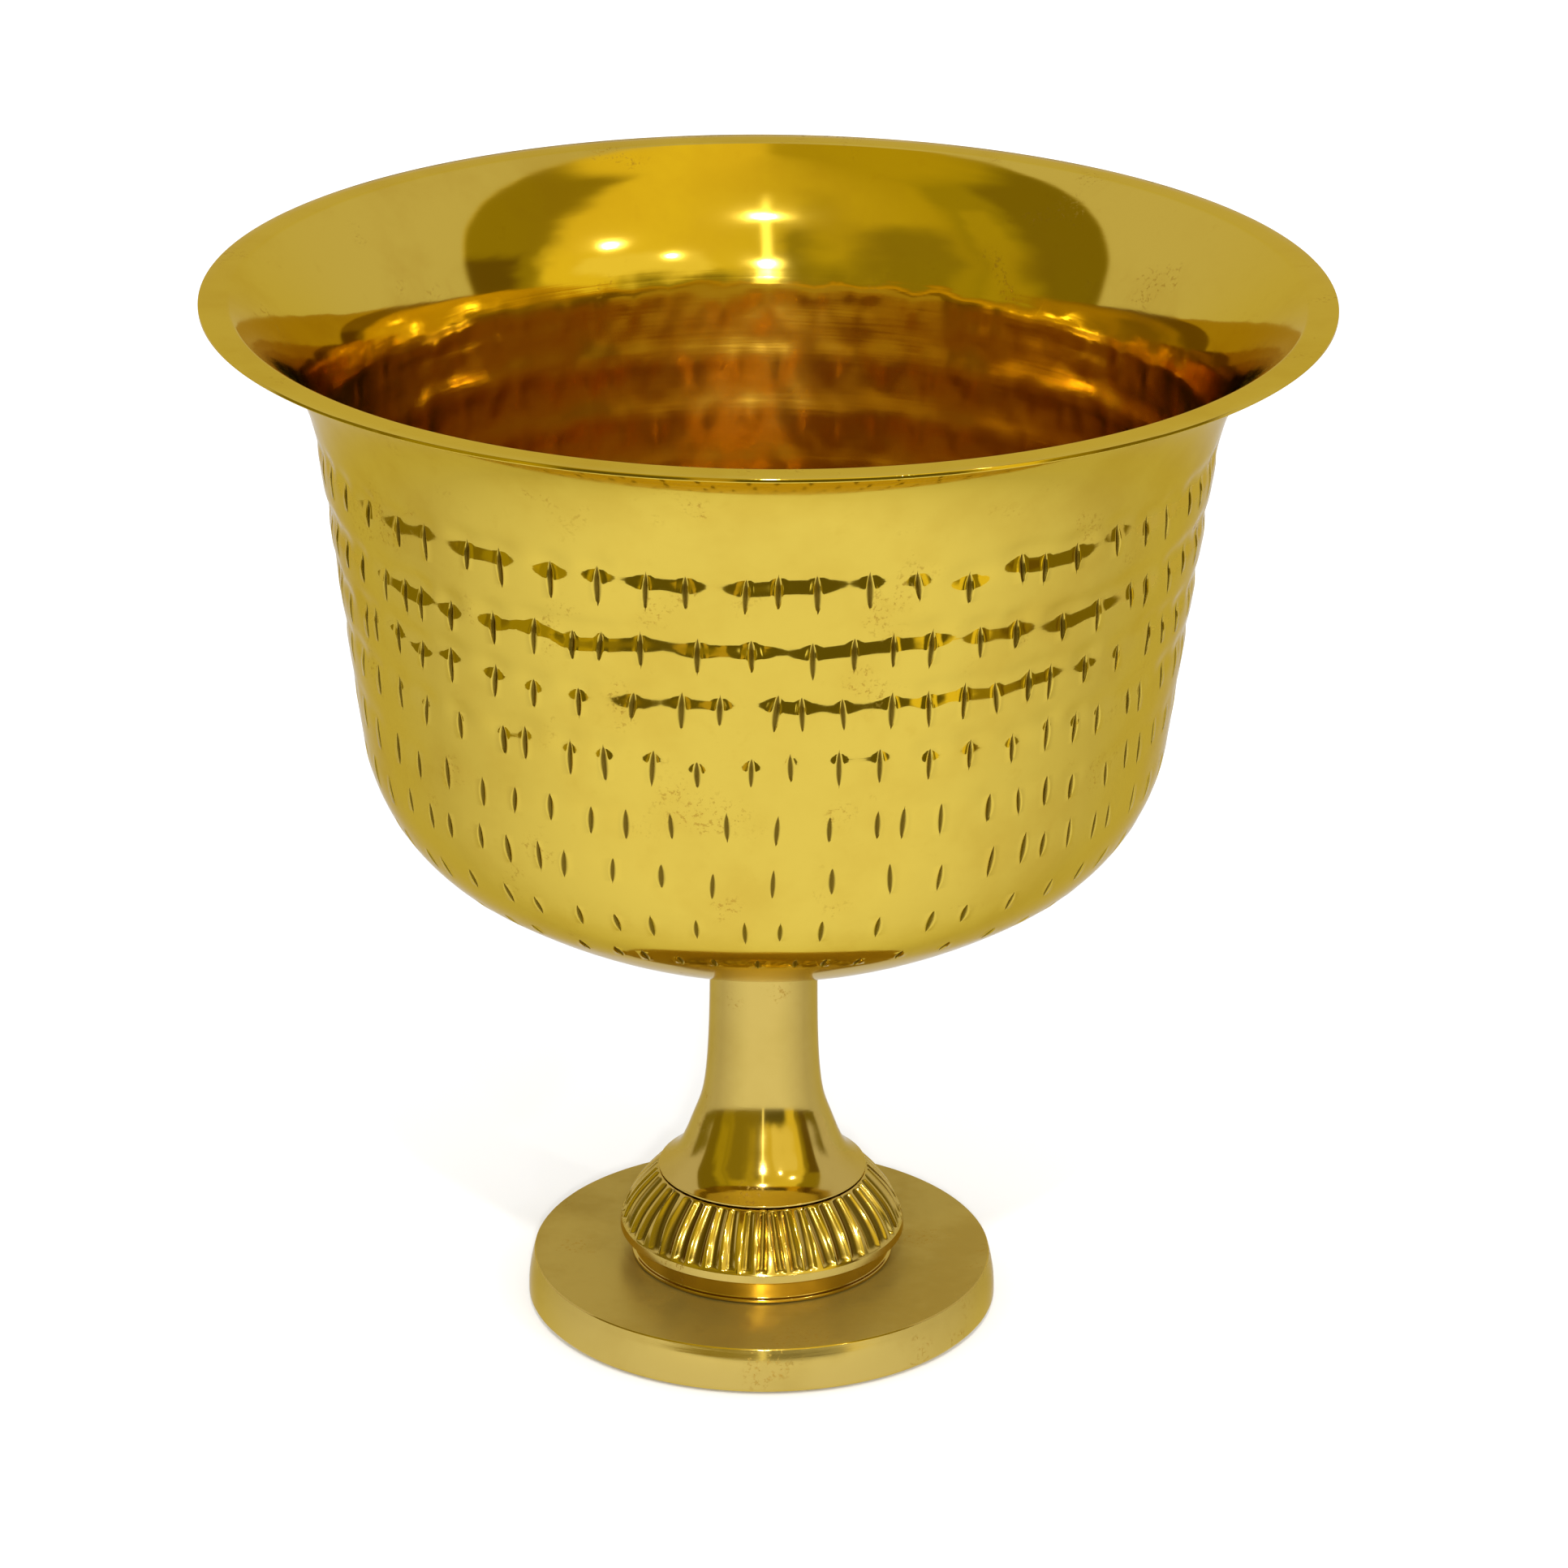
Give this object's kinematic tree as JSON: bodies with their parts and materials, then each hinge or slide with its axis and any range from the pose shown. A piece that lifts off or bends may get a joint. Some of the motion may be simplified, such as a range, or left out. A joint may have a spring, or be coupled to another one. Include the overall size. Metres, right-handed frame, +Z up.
{
  "type": "brass planter pot",
  "caption": "Pedestal planter: a deep round bowl with a flared lip and chased wall, on a waisted stem with a fluted collar and a heavy round base.",
  "frame": {"origin": "centre of the resting face under the base", "axes": "+Z up along the axis of the bowl and stem; the planter is round, so X and Y are free"},
  "size_m": [0.254, 0.254, 0.2475],
  "materials": {
    "polished_brass": "polished, lightly tarnished",
    "satin_brass": "satin, fine turning marks",
    "zinc_steel": "bright zinc plate",
    "rubber": "matte",
    "felt": "pressed wool felt"
  },
  "bodies": {
    "root": {"bowl": "polished_brass", "stem": "polished_brass", "fluted_collar": "polished_brass", "plinth_ring": "polished_brass", "base_disc": "satin_brass", "felt_ring": "felt", "tie_rod": "zinc_steel", "stem_gasket": "rubber", "sealing_washer": "rubber", "top_washer": "polished_brass", "dome_nut": "polished_brass", "plate_washer": "zinc_steel", "spring_washer": "zinc_steel", "thin_nut": "zinc_steel"}
  },
  "joints": []
}
